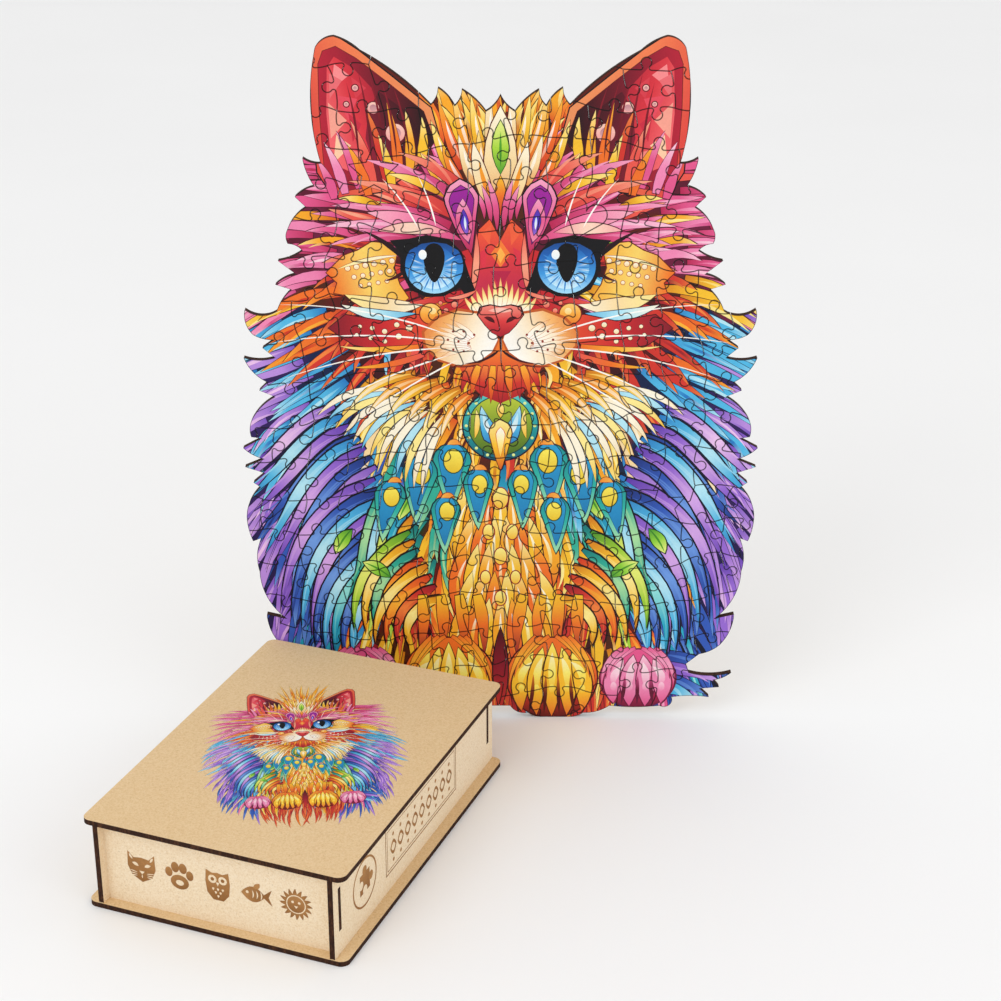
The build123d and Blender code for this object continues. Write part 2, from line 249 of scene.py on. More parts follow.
def painted(shape, points):
    """The colours of a shape at some points."""
    _, colours, start, way = shape
    places = np.clip((points - start) @ way, 0, 1) * (len(colours) - 1)
    stops = np.arange(len(colours))
    return np.stack([np.interp(places, stops, colours[:, k]) for k in range(3)], axis=1)


# ---- The cat's fur -------------------------------------------------------------------------------
def zone_palette(x, z, dice):
    """The palette of a lock at a point, drawn from the zones near it."""
    pulls = [(reach / (math.hypot(abs(x) - zone_x, z - zone_z) + 4)) ** 4
             for zone_x, zone_z, _, reach in FUR_ZONES]
    return PALETTES[dice.choices([zone[2] for zone in FUR_ZONES], pulls)[0]]


def under_fur(x, z):
    """The dark colour that shows between the locks."""
    nearest = min(FUR_ZONES, key=lambda zone: math.hypot(abs(x) - zone[0], z - zone[1]) / zone[3])
    return PALETTES[nearest[2]][0]


def has_fur(x, z):
    if z < -6 or z > 398 or abs(x) > np.interp(z, *HALF_WIDTH_AT) or (abs(x) > 40 and z > 352):
        return False
    return math.hypot(x, z - BARE_MUZZLE[0]) >= BARE_MUZZLE[1]


def fur_lock(art, dice, x, z, radius, angle):
    """One pointed lock, with a thin streak down some of them."""
    side = 1 if x > 0 else -1
    across_x = abs(x)
    sway = 0.20 * math.sin(across_x / 17 + z / 29) + 0.12 * math.sin(z / 13 - across_x / 31)
    way = angle + side * (sway - 0.12) + dice.uniform(-0.07, 0.07)
    length = dice.uniform(34, 58) if radius > 90 else dice.uniform(22, 34)
    tip = (x + length * math.cos(way), z + length * math.sin(way))
    gap, deep, body, light = zone_palette(x, z, dice)
    width = dice.uniform(5.5, 9.5)
    bend = side * (5.0 + 5.0 * math.sin(across_x / 23 - z / 19) + dice.uniform(-1.5, 1.5))
    art.brush(x - 5 * math.cos(way), z - 5 * math.sin(way), *tip, width, [deep, body, body, light],
              bend, edge=0.6, ink=gap * 0.7, steps=8)
    if dice.random() < 0.7:
        slip = dice.uniform(-0.22, 0.22) * width
        root_x, root_z = x - slip * math.sin(way), z + slip * math.cos(way)
        streak = light if dice.random() < 0.6 else deep
        art.brush(root_x, root_z, root_x + 0.8 * (tip[0] - x), root_z + 0.8 * (tip[1] - z),
                  width * 0.24, [body, streak, light], bend * 0.85, "leaf")


def fur(art, dice):
    """Rows of pointed locks, from the outermost ring in to the face."""
    for row, radius in enumerate(np.arange(*FUR_RINGS, -RING_STEP)):
        count = int(2 * math.pi * radius / LOCK_SPACING)
        for k in range(count):
            angle = 2 * math.pi * (k + 0.5 * (row % 2)) / count + dice.uniform(-0.3, 0.3) / radius * 8
            x = FUR_CENTRE[0] + radius * math.cos(angle)
            z = FUR_CENTRE[1] + radius * math.sin(angle)
            if has_fur(x, z):
                fur_lock(art, dice, x, z, radius, angle)


# ---- The cat's head ------------------------------------------------------------------------------
EAR_FACETS = (
    ((82, 399), (90, 405), (92, 391), "f58a8c"), ((78, 386), (90, 388), (83, 374), "e4485a"),
    ((84, 374), (94, 384), (93, 364), "f5a08e"), ((76, 372), (83, 378), (81, 362), "c8263e"),
    ((82, 360), (90, 366), (92, 350), "fbc9a4"), ((76, 356), (84, 358), (80, 346), "f2837a"),
    ((86, 396), (93, 400), (93, 386), "e86a70"), ((73, 392), (81, 398), (79, 386), "d43a48"),
)
EAR_TUFTS = (
    (50, 346, 52, 380, "sun"), (56, 342, 62, 384, "flame"), (63, 340, 73, 380, "ember"),
    (70, 338, 82, 374, "coral"), (78, 336, 90, 368, "rose"), (86, 333, 97, 362, "blush"),
    (44, 350, 43, 376, "gold"), (60, 336, 67, 366, "gold"), (73, 332, 84, 360, "flame"),
    (92, 330, 101, 352, "rose"),
)


def ears(art):
    """Tall ears: an orange rim, a maroon inner side, red facets, pale spots and loose tufts."""
    for _ in art.halves():
        shell = [(34, 366), (38, 381), (60, 399), (77, 412.5), (90, 421), (99, 418), (103, 410),
                 (103, 380), (101, 345), (92, 330), (66, 334), (48, 346)]
        art.patch(shell, "e8905a ee7a4c e0483e", (40, 390), (102, 370), 0.8)
        band = [(36, 362), (42, 379), (62, 395.5), (78, 408), (89, 414.5), (96, 412), (98.6, 405),
                (98.8, 380), (97, 346), (88, 334), (68, 338), (50, 350)]
        art.patch(band, "2a060e 7c1026 b51c34", (44, 380), (98, 380), 0.35, "5c1014")
        inner = [(70, 392), (80, 403), (90, 409), (94, 403), (95, 378), (93, 350), (80, 344),
                 (70, 352), (64, 372)]
        art.patch(inner, "a81830 d8323e f0646a", (64, 384), (96, 374))
        shadow = [(42, 362), (50, 378), (66, 390), (72, 380), (74, 364), (70, 350), (58, 344)]
        art.patch(shadow, "26050d 5c0b1e 8e1430", (44, 372), (76, 360))
        for *facet, shade in EAR_FACETS:
            art.patch(facet, shade)
        for x, z, size in ((57.6, 367, 5.2), (69.4, 381, 3.2), (79, 392, 1.6), (84, 383, 1.3)):
            art.disc(x, z, size, "f7c9b8 ee9a98", points=20, edge=0.6, ink="6a1020")
            art.disc(x, z, size * 0.6, "b9808a d8a0a0", points=16)
        for *ends, name in EAR_TUFTS:
            gap, _, body, light = PALETTES[name]
            art.brush(*ends, 7.5, [body, body, light], 2.5, edge=0.5, ink=gap)
        for step in range(5):
            art.brush(50 + 7 * step, 352 - step, 58 + 6.4 * step,
                      392 + 3 * step - (9 if step > 3 else 0), 1.3, "ember0 ember1", 3, "leaf", steps=6)


def crown(art):
    """The tuft of the crown, with a green leaf and a pale fan below it."""
    fan = [(4, 350, 6, 392, "cream"), (9, 352, 16, 388, "gold"), (15, 350, 26, 390, "sun"),
           (21, 347, 34, 386, "flame"), (26, 344, 38, 374, "gold"), (8, 340, 12, 368, "sun"),
           (14, 338, 23, 366, "cream"), (20, 335, 32, 360, "flame"), (26, 332, 44, 356, "sun")]
    for x0, z0, x1, z1, name in fan:
        gap, deep, body, light = PALETTES[name]
        for _ in art.halves():
            art.brush(x0, z0, x1, z1, 8.0, [deep, body, light], -2.0, edge=0.55, ink=gap)
            art.brush(x0, z0 + 3, 0.3 * x0 + 0.7 * x1, 0.3 * z0 + 0.7 * z1, 1.8, [body, WHITE], -1.4,
                      "leaf", steps=6)
    art.brush(0, 322, 0, 382, 18, "cream1 cream2 cream3", 0, "leaf", 0.7, "sun0")
    for _ in art.halves():
        art.brush(2, 318, 15, 362, 8, "cream1 cream2 cream3", -3, "leaf", 0.6, "sun0")
        art.brush(3, 324, 12, 352, 2.6, "flame2 sun2", -2, "leaf")
    art.brush(0, 344, 0, 374, 9, "3f9a2e a9d63a eaf08a", 0, "leaf", 0.6, "1c4a12")
    art.brush(0, 348, 0, 368, 1.4, "2c7a22 5fae2c", 0, "leaf")
    art.brush(0, 320, 0, 343, 6, "flame1 flame2 gold2", 0, "leaf", 0.5, "flame0")


def brows(art):
    """Swept brow locks, and the violet drops between them."""
    sweeps = [(20, 326, 74, 352, 11, "rose"), (24, 320, 84, 340, 11, "coral"),
              (28, 314, 94, 326, 11, "rose"), (36, 309, 98, 314, 10, "blush"),
              (16, 330, 56, 356, 9, "coral"), (46, 306, 96, 303, 8, "rose")]
    for _ in art.halves():
        for x0, z0, x1, z1, width, name in sweeps:
            gap, deep, body, light = PALETTES[name]
            art.brush(x0, z0, x1, z1, width, [deep, body, light], 7, edge=0.6, ink=gap, steps=9)
            art.brush(x0 + 8, z0 + 2, x1 - 12, z1, width * 0.2, [body, light], 6, "leaf", steps=8)
        art.brush(30, 330, 62, 344, 4.5, "gold1 gold2 gold3", 5, "leaf", 0.5, "rose0", 8)
        art.brush(66, 326, 90, 330, 4.0, "gold1 gold2 gold3", 3, "leaf", 0.5, "rose0", 8)
        for shift, width in ((5, 3.6), (8.5, 3.0), (12, 2.6)):
            art.brush(shift + 2, 346 - shift, shift - 3, 306 + shift, width, "rose3 rose2 rose1", -3,
                      "leaf", 0.5, steps=9)
        art.brush(22.5, 341, 16.5, 298, 18.5, "rose3 rose2 rose1", 2, "drop", 0.9, steps=14)
        art.brush(22, 337.5, 17.5, 304, 13.5, "a0209a 7a1a84", 2, "drop", 0.5, "3a0a3c", 13)
        art.brush(21, 330, 18, 305, 9, "rose3 rose2 f08aa8", 1.6, "leaf", 0.4, "4a0e4c", 10)
        art.brush(20.6, 324, 18.6, 309, 4.4, "violet1 4a2ac0 violet2", 1, "leaf", 0.4, "2a0c4a", 9)
        art.brush(20, 320, 19.4, 312, 1.4, "b9d6fb white", 0, "leaf")


def bridge(art):
    """The red bridge of the nose, with its facets and the pale tuft that fans up from the nose."""
    for _ in art.halves():
        for ends in ((15, 272, 46, 262), (16, 268, 38, 256), (15, 276, 52, 269), (14, 264, 30, 256),
                     (18, 284, 24, 268), (20, 300, 17, 280)):
            art.brush(*ends, 7.5, "coral1 coral1 coral2", -2, edge=0.5, ink="coral0", steps=8)
        art.spots(((26, 268, 1.8), (31, 264.5, 1.4), (24, 263.5, 1.2), (34, 269, 1.1)), "coral3 coral2",
                  points=12, edge=0.35, ink="coral0")
    art.patch([(-12, 312), (-6, 318), (0, 306), (6, 318), (12, 312), (15, 296), (17, 276), (14, 262),
              (-14, 262), (-17, 276), (-15, 296)], "e2574c c42a48 d8383c ee5a34", (0, 262), (0, 314),
              0.6, "5c0d12")
    art.patch([(0, 306), (-5.5, 298), (0, 290), (5.5, 298)], "f27a34")
    art.patch([(0, 302), (-2.6, 297.5), (0, 292.5), (2.6, 297.5)], "f9b04a")
    for facet, shade in (([(11, 310), (5, 315), (6, 303)], "f0603c"),
                         ([(13, 298), (7, 302), (9, 288)], "d93244")):
        for _ in art.halves():
            art.patch(facet, shade)
    art.patch([(-6, 288), (6, 288), (0, 278)], "b51f44")
    for _ in art.halves():
        art.brush(13.5, 310, 16.5, 272, 3.4, "coral2 coral3 coral2", -2.5, "leaf", 0.5, "coral0", 10)
    for step in range(-6, 7):
        art.brush(step * 1.9, 262, step * 3.4, 284 - abs(step) * 1.9, 4.4, "white cream3 gold3 f2a266",
                  -step * 0.3, "lock", 0.3, "d8783c", 8)


EYE_X, EYE_Z = 37.3, 291.0


def eyes(art):
    """Wide blue eyes with dark lids, slit pupils and a glint."""
    for side in art.halves():
        lid = [(14, 276), (18, 287), (21.5, 299), (29, 307), (40, 309.5), (51, 307), (62, 306),
               (56, 298), (56.5, 288), (51, 277), (42, 272.5), (32, 273), (23, 278), (18, 271)]
        art.patch(lid, "08070d")
        art.disc(EYE_X, EYE_Z, 16.3, "123a78 1d62b4 3f9be0 a5defa", points=40, edge=0.5, ink="05060c")
        art.disc(EYE_X, EYE_Z - 1, 12.6, "1c55a4 2f86d4 86cdf6 cdf0fd", points=36)
        art.middle = (side * EYE_X, EYE_Z)
        art.side = 1
        for step in range(26):
            angle = math.radians(-90 + (step - 12.5) * 9.4)
            across, up = math.cos(angle), math.sin(angle)
            reach = 15.4 - 2.2 * (step % 2)
            art.brush(5.4 * across, 5.4 * up - 1, reach * across, reach * up - 0.4, 0.9,
                      "2b7ccc dff5fe" if step % 2 else "2b7ccc 3f8ccf", 0, "leaf", steps=5)
        art.patch([(4.6 * math.sin(a) * (1.25 - 0.42 * math.cos(a)),
                  1.8 - 11.5 * math.cos(a)) for a in np.linspace(0, 2 * math.pi, 26, endpoint=False)],
                  "040407")
        art.patch([(-16.6, 4), (-14, 10), (-8, 15.2), (0, 17), (8, 15.2), (14, 10), (16.6, 4),
                  (13.4, 9.2), (7, 12.9), (0, 14), (-7, 12.9), (-13.4, 9.2)], "07060c")
        art.disc(-6.4, 6.6, 2.3, "white e6f4fb", tall=1.25, points=14)
        art.disc(5.8, -7.4, 1.1, "e4f6fd c3e8f8", points=10)
        art.middle = (0.0, 0.0)
        art.side = side
        art.brush(22, 306, 74, 322, 9.5, "d8447c f07aa4 f9b0c4", 4, "leaf", 0.6, "4a0a1e", 11)
        art.brush(30, 310.5, 68, 311.5, 6.4, "f0809a fbd9c0 f6a8a8", 4, "leaf", 0.6, "4a0a1e", 11)
        art.brush(13, 277, 30, 272, 2.2, "ee6a4c f6a08a", -3, "leaf", 0.4)
        art.brush(55, 296, 78, 312, 4.2, "07060c 3a0a18", 3)
        art.brush(54, 288, 66, 282, 3.0, "07060c 5c1014", -2)


def patches(art):
    """The yellow patches with pale dots beside the eyes, their leaves and the red cheeks."""
    for _ in art.halves():
        patch = [(52, 272), (57, 280), (60, 290), (58, 299), (63, 304), (72, 305), (80, 300), (88, 297),
                 (98, 287), (92, 281), (94, 275), (84, 273), (74, 269), (60, 266)]
        art.patch(patch, "f3a62e f9d468 ee7422", (54, 290), (94, 280), 0.7, "6a1c0c")
        for row in range(3):
            for k in range(6 - row):
                art.disc(61 + 5 * k + 1.5 * row, 294 - 6 * row - 0.9 * k, 1.5 - 0.2 * row,
                         "cream3 cream2", points=10, edge=0.35, ink="b5471c")
        art.brush(58, 297, 92, 289, 2.0, "cream3 gold3", 3, "leaf", 0.35, "9c3414")
        art.brush(44, 268, 88, 274, 9, "cream3 cream2 gold3", -7, "leaf", 0.6, "5c1a0c", 10)
        art.brush(48, 263, 90, 268, 6, "sky2 sky3 cream3", -7, "leaf", 0.5, "sky0", 10)
        cheek = [(34, 262), (48, 262), (66, 258), (88, 262), (98, 254), (84, 244), (64, 240), (46, 244)]
        art.patch(cheek, "e8502e c9242a 7c1426", (36, 252), (98, 252), 0.6, "3a0710")
        art.spots(((52, 254, 1.9), (59, 256, 1.5), (58, 249, 1.7), (66, 252, 1.5), (73, 254, 1.3),
                  (66, 246, 1.3), (80, 255, 1.1), (74, 248, 1.2), (82, 250, 1.0)), "cream3 cream2",
                  points=12, edge=0.3, ink="coral0")
        art.brush(46, 243, 92, 243, 5, "flame2 flame3 gold3", -4, "lock", 0.5, "flame0", 9)
        art.brush(44, 238, 84, 230, 5, "coral2 flame2 gold2", -4, "lock", 0.5, "coral0", 9)


def muzzle(art):
    """The chin, the pale pads with their dots, the mouth and the red nose."""
    art.patch([(-26, 236), (-20, 222), (-11, 213), (0, 208), (11, 213), (20, 222), (26, 236), (0, 248)],
              "f07a2c d93a26 a81c24", (0, 240), (0, 210))
    for step in range(-4, 5):
        gap, deep, body, light = PALETTES["flame" if step % 2 else "ember"]
        art.brush(step * 4.2, 231, step * 5.6, 206 + abs(step) * 2.2, 5.6, [light, body, deep],
                  step * 0.4, edge=0.45, ink=gap)
    for _ in art.halves():
        art.disc(39.6, 262.6, 6.0, "fbd074 f6a83c ea7a26", edge=0.7, ink="7c2010")
        art.disc(38.4, 264.2, 2.0, "fdeab0 fbd074", points=12)
        art.patch([(1, 246), (4, 238), (12, 232), (24, 230), (36, 234), (44, 243), (45, 252), (37, 261),
                  (24, 266), (12, 264), (3, 256)], "c25a24")
        art.patch([(1.6, 247), (5, 239.5), (13, 233.4), (24, 231.4), (35, 235), (42.6, 243.4),
                  (43.4, 251.6), (36, 259.6), (24, 264.4), (13, 262.6), (4, 255)],
                  "white fbe9c8 f4b56a e2742c", (8, 240), (44, 256))
        for step in range(9):
            angle = math.radians(-42 + 13 * step)
            across, up = math.cos(angle), math.sin(angle)
            art.brush(12 + 7 * across, 245 + 4 * up, 17 + 24 * across, 246 + 15 * up, 4.2,
                      "white fdf0d4 f0a24e", 1.0, "lock", 0.3, "c26a2c")
        for x, z in ((15, 250), (21, 252), (27, 252), (18, 245), (24, 246), (30, 247), (21, 240),
                     (27, 241)):
            art.disc(x, z, 0.75, "8a2a1c 8a2a1c", points=8)
        art.brush(0.4, 241, 21, 232.5, 1.9, "ink 5c0f12", -4.5, "line", steps=9)
        art.brush(12, 232, 30, 231, 1.1, "5c0f12 8e2a1c", -2, "line")
    art.brush(0, 252, 0, 239.5, 1.9, "5c0f12 ink", 0, "line")
    nose = [(0, 248.5), (5, 251), (9, 255.5), (13.6, 262), (12, 267), (6, 268.4), (0, 267.2), (-6, 268.4),
            (-12, 267), (-13.6, 262), (-9, 255.5), (-5, 251)]
    art.patch(nose, "3a0a10")
    art.patch([(x * 0.93, 248 + (z - 248) * 0.94 + 0.4) for x, z in nose], "a8182a d93a3c f28b7a",
              (0, 249), (0, 268))
    art.brush(-7, 264.4, 7, 264.4, 3.0, "f6a898 fbc4b4 f6a898", 0.8, "leaf")
    for _ in art.halves():
        art.brush(3.2, 257, 9.4, 260.5, 2.6, "3a050c 5c0a14", 1.6, "leaf")


def whiskers(art):
    """Long pale whiskers from the pads and the brows."""
    for _ in art.halves():
        for *ends, bend in ((30, 250, 128, 268, 10), (32, 246, 136, 244, 9), (31, 242, 128, 222, 8),
                            (28, 238, 110, 200, 6), (24, 235, 92, 190, 4), (46, 313, 66, 342, 3),
                            (36, 314, 46, 344, 2)):
            art.brush(*ends, 1.1, "white white f6ead8", bend, "line", steps=14)


# ---- The cat's body ------------------------------------------------------------------------------
def collar(art):
    """Golden collar locks, and the pale ribs on dark blue at either side."""
    for _ in art.halves():
        for step in range(13):
            _, _, body, light = PALETTES[("cream", "cream", "gold", "sky")[step % 4]]
            art.brush(30 + 2.4 * step, 200 + 1.3 * step, 46 + 5.0 * step, 150 + 4.2 * step, 4.0, [body,
                      light, light, body], 8 + 0.5 * step, "leaf", 0.45, "0b1030", 11)
        for step in range(7):
            ends = (10 + 6.5 * step, 212 + 2.4 * step, 24 + 10.5 * step, 184 + 3.5 * step)
            gap, deep, body, light = PALETTES["sun" if step % 2 else "gold"]
            bend = 6 + step * 0.6
            art.brush(*ends, 8.0, [deep, body, light], bend, edge=0.6, ink=gap, steps=9)
            art.brush(*ends, 2.0, [body, PALETTES["cream"][3]], bend, "leaf", steps=9)


MEDALLION_Z = 194.0
MEDALLION_RIM = 19.9  # radius of the ring of pale studs


def medallion(art):
    """The round green medallion on the throat, with drops and a flame below."""
    art.disc(0, MEDALLION_Z, 21.6, "58c8c4 1f9a9c 0e5c70", points=44, edge=0.9, ink="0b1030")
    art.disc(0, MEDALLION_Z, 18.2, "b8c83a 7d9a2a 456a20", points=40, edge=0.6, ink="0c3a34")
    for step in range(16):
        angle = 2 * math.pi * step / 16
        art.disc(MEDALLION_RIM * math.cos(angle), MEDALLION_Z + MEDALLION_RIM * math.sin(angle), 0.95,
                 "eef6a8 cfe27a", points=8)
    for _ in art.halves():
        art.brush(2, 183, 11, 206, 10, "sky1 sky2 sky3", -3, "drop", 0.6, "sky0", 10)
        art.brush(4, 186, 10, 202, 3, "white sky3", -2, "leaf", steps=8)
        art.brush(15, 186, 14, 204, 3, "gold2 gold3", 2, "leaf", 0.4, "2c4a12")
    art.brush(0, 198, 0, 166, 13, "gold3 gold2 sun1", 0, "drop", 0.7, "sun0", 12)
    art.brush(0, 193, 0, 174, 5, "white gold3 gold2", 0, "drop", 0.4, "sun1", 10)
    art.brush(0, 209, 0, 199, 4, "gold3 gold2", 0, "leaf", 0.5, "2c4a12")


def plumes(art):
    """The plumes below the medallion: teal drops with a yellow eye and an orange cap."""
    for _ in art.halves():
        for x0, z0, x1, z1, width in ((27, 184, 29, 140, 22), (45, 176, 50, 132, 20),
                                      (12, 168, 13, 128, 17), (62, 160, 70, 120, 18),
                                      (31, 150, 33, 112, 17)):
            art.brush(x0, z0, x1, z1, width, "0f7f8c 2cb3a4 9fe0b0", 2, "drop", 0.8, "042834", 12)
            art.brush(x0, z0, x1, z1 + 5, width * 0.72, "2a9fd0 1c7ab4", 2, "drop", 0.4, "0a3a5c", 12)
            art.disc(x0 + 0.28 * (x1 - x0), z0 + 0.28 * (z1 - z0), width * 0.25, "f9e95a e8c02c",
                     tall=1.35, points=18, edge=0.7, ink="1c4a2c")
            art.brush(x0 - 4, z0 - 2, x0 + 4, z0 - 2, 3.4, "f08a2c f6b24c", 3.6, "leaf", 0.4, "6a1c0c",
                      8)


def breast(art):
    """The tall column of flames down the middle."""
    art.patch([(-22, 140), (22, 140), (30, 100), (26, 54), (-26, 54), (-30, 100)],
              "e2761b c03a1c 6a1418", (0, 140), (0, 50))
    for row in range(5):
        z = 134 - 18 * row
        for k in range(-3, 4):
            x = 8.4 * (k + 0.5 * (row % 2))
            _, deep, body, light = PALETTES[("gold", "sun", "flame")[(k + row) % 3]]
            art.brush(x * 0.8, z + 20, x * 1.05, z - 28, 9.0, [light, body, body, deep], x * 0.22,
                      "leaf", 0.7, "ember0", 10)
            art.brush(x * 0.8, z + 10, x, z - 18, 2.0, [WHITE, light, body], x * 0.2, "leaf", steps=8)
    art.spots(((0, 148, 4.4), (-7, 126, 3.2), (7, 126, 3.2), (0, 110, 3.6), (-9, 96, 2.8), (9, 96, 2.8),
              (0, 82, 3.2)), "fdf08a f3b92a", tall=1.5, points=18, edge=0.7, ink="ember1")


# Strands that flow down the flanks in bundles. Each row has its first strand's two ends, each with
# the step to the next strand's end, how far a strand's two halves bow, its width and its palettes.
BUNDLES = (
    ((96, 206), (-4, -6), (152, 158), (-3.5, -9), 14, -3, 6.0, "lilac sky violet navy lilac"),
    ((82, 186), (-3, -6), (140, 112), (-5, -8), 24, 8, 6.2, "sky violet navy lilac sky navy"),
    ((74, 160), (-3, -6), (132, 74), (-6, -6), 34, 26, 6.4, "violet navy sky violet navy lilac"),
    ((66, 128), (-3, -6), (112, 48), (-6, -3), 26, 30, 6.0, "navy sky sea navy sky"),
    ((62, 160), (-2.5, -6), (92, 82), (-6, -5), 16, -6, 6.4, "teal sky lime sea gold teal"),
    ((54, 126), (-2.5, -6), (88, 60), (-7, -1.5), 20, 24, 6.0, "lime gold teal flame gold"),
    ((44, 104), (-2.5, -7), (76, 52), (-7, -1), 14, 20, 6.0, "gold flame ember gold"),
)


def swirls(art):
    """Long strands down the flanks: golden and green inside, then blue, with violet and lilac
    outside, and some leaves among them."""
    for root, root_step, tip, tip_step, bend, curl, width, names in BUNDLES:
        for k, name in enumerate(names.split()):
            gap, deep, body, light = PALETTES[name]
            x0, z0 = root[0] + k * root_step[0], root[1] + k * root_step[1]
            x1, z1 = tip[0] + k * tip_step[0], tip[1] + k * tip_step[1]
            for _ in art.halves():
                art.brush(x0, z0, x1, z1, width, [deep, body, light, body, deep], bend, "strand", 1.0,
                          gap * 0.35, 15, curl)
                for shift, share in ((-0.24, 0.16), (0.22, 0.22)):
                    art.brush(x0 + shift * width, z0 - 4, x1 - shift * width * 0.3, z1 + 6,
                              width * share, [body, light, body], bend, "leaf", steps=13, curl=curl)
    for _ in art.halves():
        for ends in ((50, 152, 60, 134), (58, 146, 72, 132), (66, 96, 82, 106), (88, 128, 98, 112),
                     (44, 160, 52, 146)):
            art.brush(*ends, 8, "2f8a2c 8fcf3a eef487", 2, "leaf", 0.7, "0c3414", 9)
            art.brush(*ends, 1.2, "1f6a24 5fae2c", 2, "leaf")


def paw(art, x, z, wide, tall, name, rim_name, toes):
    """A round paw: long bright lobes from its top down over the toes, with dark lines between."""
    gap, deep, body, light = PALETTES[name]
    rim = PALETTES[rim_name]
    art.middle = (x, z)
    art.side = 1
    art.disc(0, 0, wide / 2, [rim[2], rim[2], rim[1], rim[0]], tall=tall / wide, points=40, edge=1.0,
             ink=gap)
    for k in range(toes):
        share = (k + 0.5) / toes - 0.5
        x0, z0 = share * wide * 0.52, tall * (0.44 - 0.3 * abs(share))
        x1, z1 = share * wide * 0.84, -tall * (0.49 - 0.42 * share * share)
        art.brush(x0, z0, x1, z1, wide / toes * 0.98, [light, body, body, rim[2]], share * wide * 0.36,
                  "leaf", 0.8, gap, 12)
        art.brush(x0, z0 - tall * 0.12, x1, z1 + tall * 0.3, wide / toes * 0.42,
                  [WHITE * 0.5 + light * 0.5, light, body], share * wide * 0.3, "leaf", steps=9)
        art.disc((x0 + x1) / 2 + share * wide * 0.17, -tall * 0.14, wide / toes * 0.17, [light, body],
                 tall=1.6, points=12)
        if k:
            edge_x = (k / toes - 0.5) * wide * 0.86
            art.brush(edge_x, -tall * 0.46, edge_x * 0.8, tall * 0.05, 2.4, [gap, rim[0], deep],
                      edge_x * 0.1, "leaf", steps=9)
    for _ in art.halves():
        for step in range(3):
            art.brush(2 + 4 * step, tall * 0.52, wide * (0.36 + 0.06 * step),
                      tall * (0.12 - 0.12 * step), 4.2, [rim[2], rim[3], rim[2]], 5 + step, "lock", 0.5,
                      gap, 9)
    art.middle = (0.0, 0.0)


def paws(art):
    """Golden front paws with dark red between them, and pink hind paws."""
    for side in art.halves():
        for step in range(4):
            art.brush(14 + 11 * step, 84, 10 + 13 * step, 44, 10, "gold2 flame2 ember1", -3, "lock",
                      0.7, "ember0", 9)
        paw(art, side * 84, 27, 46, 40, "blush", "rose", 4)
        paw(art, side * 31.5, 27.5, 55, 55, "amber", "flame", 5)
    art.brush(0, 4, 0, 62, 9, "ember2 ember1 ember0", 0, "leaf", 0.8, steps=10)


def tail(art):
    """The tail's tip, low on the right."""
    for x0, z0, x1, z1, name in ((92, 44, 142, 31, "navy"), (94, 36, 136, 24, "violet"),
                                 (94, 28, 130, 15, "navy"), (96, 22, 120, 12, "sky")):
        gap, deep, body, light = PALETTES[name]
        art.brush(x0, z0, x1, z1, 11, [deep, body, light], 4, "lock", 0.7, gap, 9)
        art.brush(x0 + 6, z0, x1 - 8, z1, 2.2, [body, light], 4, "leaf", steps=8)


def cat_artwork():
    """The whole cat, from what lies lowest to what lies on top."""
    art = Drawing()
    fur(art, random.Random(7))
    for part in (tail, swirls, breast, plumes, collar, medallion, paws, ears, crown, brows, patches,
                 bridge, eyes, muzzle, whiskers):
        part(art)
    return art


# ---- The box's emblems ---------------------------------------------------------------------------
BURN = "b98650 9c6a3a"
PALE_BURN, DARK_BURN = BURN.split()


def cat_emblem(art):
    art.patch([(-8, 9), (-4.5, 5.5), (0, 6.2), (4.5, 5.5), (8, 9), (8.4, 0), (6, -5.5), (0, -9),
              (-6, -5.5), (-8.4, 0)], BURN, (0, 9), (0, -9))
    for _ in art.halves():
        art.brush(1.8, 0.6, 5.6, 2.2, 2.0, None, 0.6, "leaf")
        art.brush(5.2, 4.2, 7.2, 7.4, 1.3, None, 0, "leaf")
        for step in range(3):
            art.brush(2.6, -3.4 - step, 7.6, -2.6 - 1.6 * step, 0.6, None, 0, "leaf")
    art.patch([(-1.6, -2.2), (1.6, -2.2), (0, -4.2)], None)
    art.brush(0, -4.2, 0, -6.6, 0.7, None, 0, "leaf")


def paw_emblem(art):
    art.disc(0, -3.4, 5.4, BURN, tall=0.82)
    art.spots(((-6.2, 1.8, 2.2), (-2.3, 5.4, 2.4), (2.3, 5.4, 2.4), (6.2, 1.8, 2.2)), BURN, tall=1.35,
              points=16)
    art.disc(0, -3.8, 2.4, None, tall=0.7, points=16)


def owl_emblem(art):
    art.patch([(-6.6, 9), (-3, 7.4), (0, 8), (3, 7.4), (6.6, 9), (7.2, 2), (6.4, -5), (3, -9), (-3, -9),
              (-6.4, -5), (-7.2, 2)], BURN, (0, 9), (0, -9))
    for _ in art.halves():
        art.disc(3, 3.6, 2.5, None, points=18)
        art.disc(3, 3.6, 1.1, DARK_BURN, points=12)
    art.patch([(-1, 2), (1, 2), (0, -0.4)], None)
    for row in range(3):
        for k in range(3 - row):
            x, z = 2.8 * (k - (2 - row) / 2), -2.4 - 2.1 * row
            art.brush(x, z + 0.9, x, z - 0.9, 1.5, None, 0, "drop")


def fish_emblem(art):
    art.brush(-9, 0, 5, 0, 9.5, BURN, 0, "leaf", steps=12)
    art.patch([(3, 0), (9, 5), (7, 0), (9, -5)], DARK_BURN)
    art.disc(-5.4, 0.8, 0.9, None, points=10)
    for x in (-2.6, -0.2, 2.2):
        art.brush(x, 2.6, x, -2.6, 0.8, None, 1.4, "leaf")
    art.brush(-2, 4, 2, 7.4, 3, PALE_BURN, -1, "leaf")


